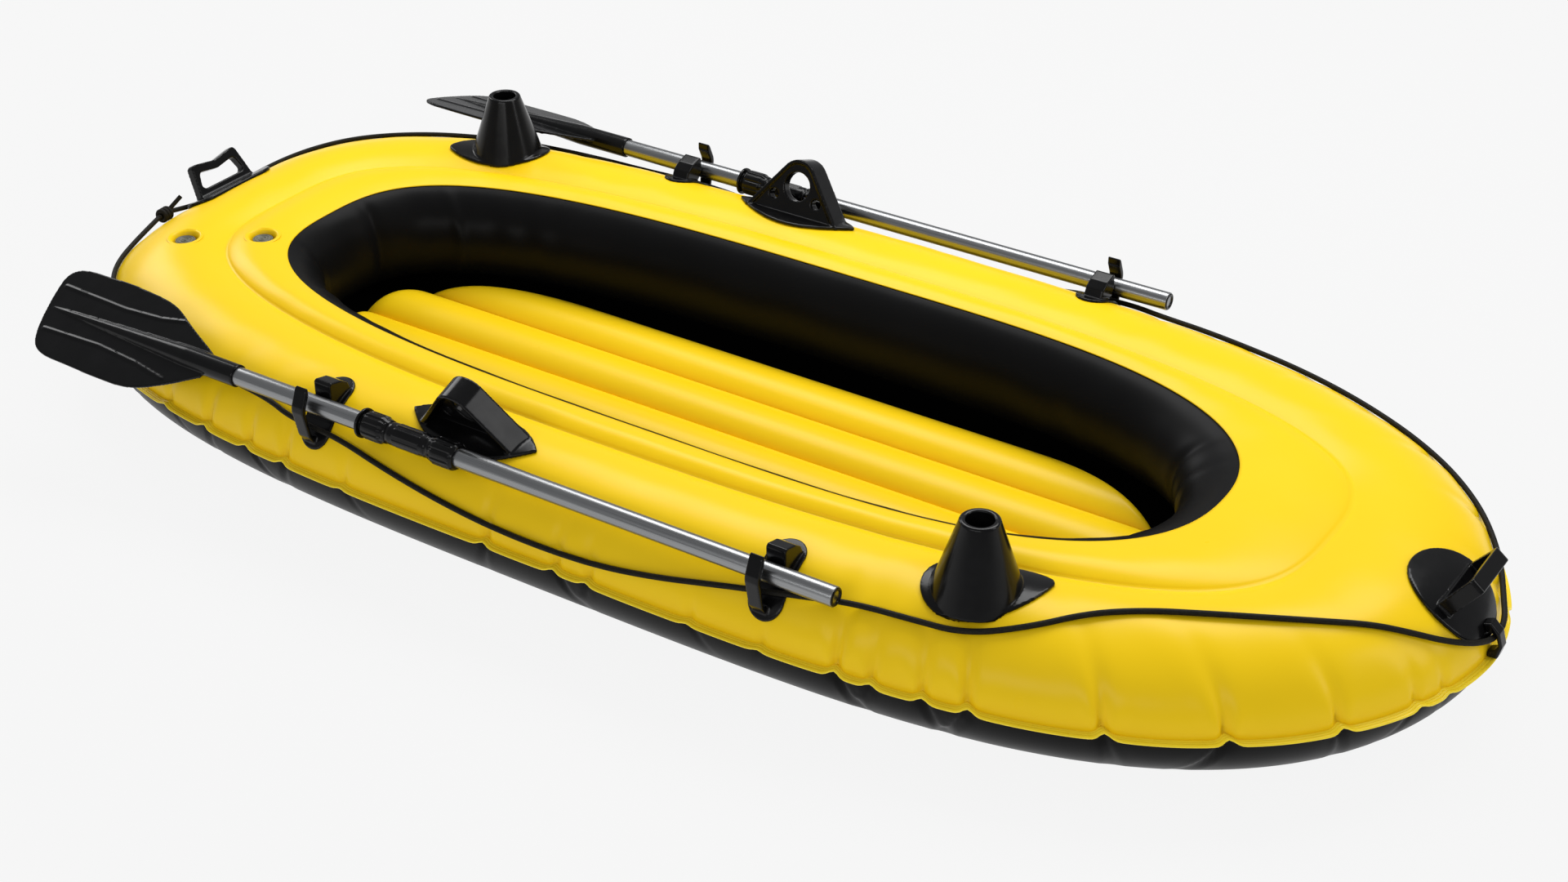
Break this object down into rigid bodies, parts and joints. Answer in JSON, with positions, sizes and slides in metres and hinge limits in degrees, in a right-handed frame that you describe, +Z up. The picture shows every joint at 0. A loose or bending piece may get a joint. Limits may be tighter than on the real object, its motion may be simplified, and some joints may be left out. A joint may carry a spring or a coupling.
{
  "type": "inflatable rowing dinghy",
  "caption": "Inflatable rowing dinghy with welded side tubes and an inflated floor, oars stowed in side clips, oarlocks, rod holders, grab handles, screw valves and a grab rope.",
  "frame": {"origin": "on the ground under the middle of the whole object, grab rope left out", "axes": "+X from stern to bow, +Y to port, +Z up"},
  "size_m": [2.2702, 1.0979, 0.312],
  "materials": {
    "yellow_vinyl": "glossy",
    "black_vinyl": "satin",
    "black_plastic": "glossy",
    "grey_plastic": "satin",
    "shaft_aluminium": "brushed",
    "black_rope": "matte"
  },
  "bodies": {
    "hull": {"outer_top_skin": "yellow_vinyl", "outer_bottom_skin": "black_vinyl", "chamber_baffle": "black_vinyl", "seam_flange": "yellow_vinyl", "inner_top_skin": "yellow_vinyl", "inner_wall_skin": "black_vinyl", "floor_top_skin": "yellow_vinyl", "floor_bottom_skin": "black_vinyl", "floor_webs": "black_vinyl", "bow_grab_handle": "black_plastic", "bow_cleat": "black_plastic", "stern_grab_handle": "black_plastic", "outer_valve_well": "yellow_vinyl", "inner_valve_well": "yellow_vinyl", "floor_valve_well": "yellow_vinyl", "grab_rope": "black_rope", "grab_rope_knot": "black_rope", "starboard_oarlock": "black_plastic", "starboard_rod_holder": "black_plastic", "starboard_aft_clip": "black_plastic", "starboard_fore_clip": "black_plastic", "port_oarlock": "black_plastic", "port_rod_holder": "black_plastic", "port_aft_clip": "black_plastic", "port_fore_clip": "black_plastic"},
    "outer_cap": {"outer_valve_cap": "grey_plastic"},
    "inner_cap": {"inner_valve_cap": "grey_plastic"},
    "floor_cap": {"floor_valve_cap": "grey_plastic"},
    "starboard_upper_oar": {"starboard_upper_shaft": "shaft_aluminium", "starboard_coupler_sleeve": "black_plastic", "starboard_end_plug": "black_plastic"},
    "starboard_lower_oar": {"starboard_lower_shaft": "shaft_aluminium", "starboard_blade": "black_plastic", "starboard_drip_ring": "black_plastic"},
    "starboard_lower_nut": {"starboard_lower_collar_nut": "black_plastic"},
    "starboard_upper_nut": {"starboard_upper_collar_nut": "black_plastic"},
    "port_upper_oar": {"port_upper_shaft": "shaft_aluminium", "port_coupler_sleeve": "black_plastic", "port_end_plug": "black_plastic"},
    "port_lower_oar": {"port_lower_shaft": "shaft_aluminium", "port_blade": "black_plastic", "port_drip_ring": "black_plastic"},
    "port_lower_nut": {"port_lower_collar_nut": "black_plastic"},
    "port_upper_nut": {"port_upper_collar_nut": "black_plastic"}
  },
  "joints": [
    {"name": "outer_cap_turn", "type": "hinge", "parent": "hull", "child": "outer_cap", "pos_m": [-0.973, -0.196, 0.2], "axis": [0, 0, 1], "continuous": true},
    {"name": "inner_cap_turn", "type": "hinge", "parent": "hull", "child": "inner_cap", "pos_m": [-0.87, -0.128, 0.201], "axis": [0, 0, 1], "continuous": true},
    {"name": "floor_cap_turn", "type": "hinge", "parent": "hull", "child": "floor_cap", "pos_m": [-0.53, -0.156, 0.053], "axis": [0, 0, 1], "continuous": true},
    {"name": "starboard_oar_lift", "type": "slide", "parent": "hull", "child": "starboard_upper_oar", "axis": [0, -0.0872, 0.9962], "range_m": [0, 0.15]},
    {"name": "starboard_blade_feather", "type": "hinge", "parent": "starboard_upper_oar", "child": "starboard_lower_oar", "pos_m": [-0.268, -0.473, 0.206], "axis": [1, 0, 0], "range_deg": [-12, 45]},
    {"name": "starboard_lower_nut_turn", "type": "hinge", "parent": "starboard_upper_oar", "child": "starboard_lower_nut", "pos_m": [-0.326, -0.473, 0.206], "axis": [1, 0, 0], "continuous": true},
    {"name": "starboard_upper_nut_turn", "type": "hinge", "parent": "starboard_upper_oar", "child": "starboard_upper_nut", "pos_m": [-0.206, -0.473, 0.206], "axis": [1, 0, 0], "continuous": true},
    {"name": "port_oar_lift", "type": "slide", "parent": "hull", "child": "port_upper_oar", "axis": [0, 0.0872, 0.9962], "range_m": [0, 0.15]},
    {"name": "port_blade_feather", "type": "hinge", "parent": "port_upper_oar", "child": "port_lower_oar", "pos_m": [-0.268, 0.473, 0.206], "axis": [1, 0, 0], "range_deg": [-59, 6]},
    {"name": "port_lower_nut_turn", "type": "hinge", "parent": "port_upper_oar", "child": "port_lower_nut", "pos_m": [-0.326, 0.473, 0.206], "axis": [1, 0, 0], "continuous": true},
    {"name": "port_upper_nut_turn", "type": "hinge", "parent": "port_upper_oar", "child": "port_upper_nut", "pos_m": [-0.206, 0.473, 0.206], "axis": [1, 0, 0], "continuous": true}
  ]
}
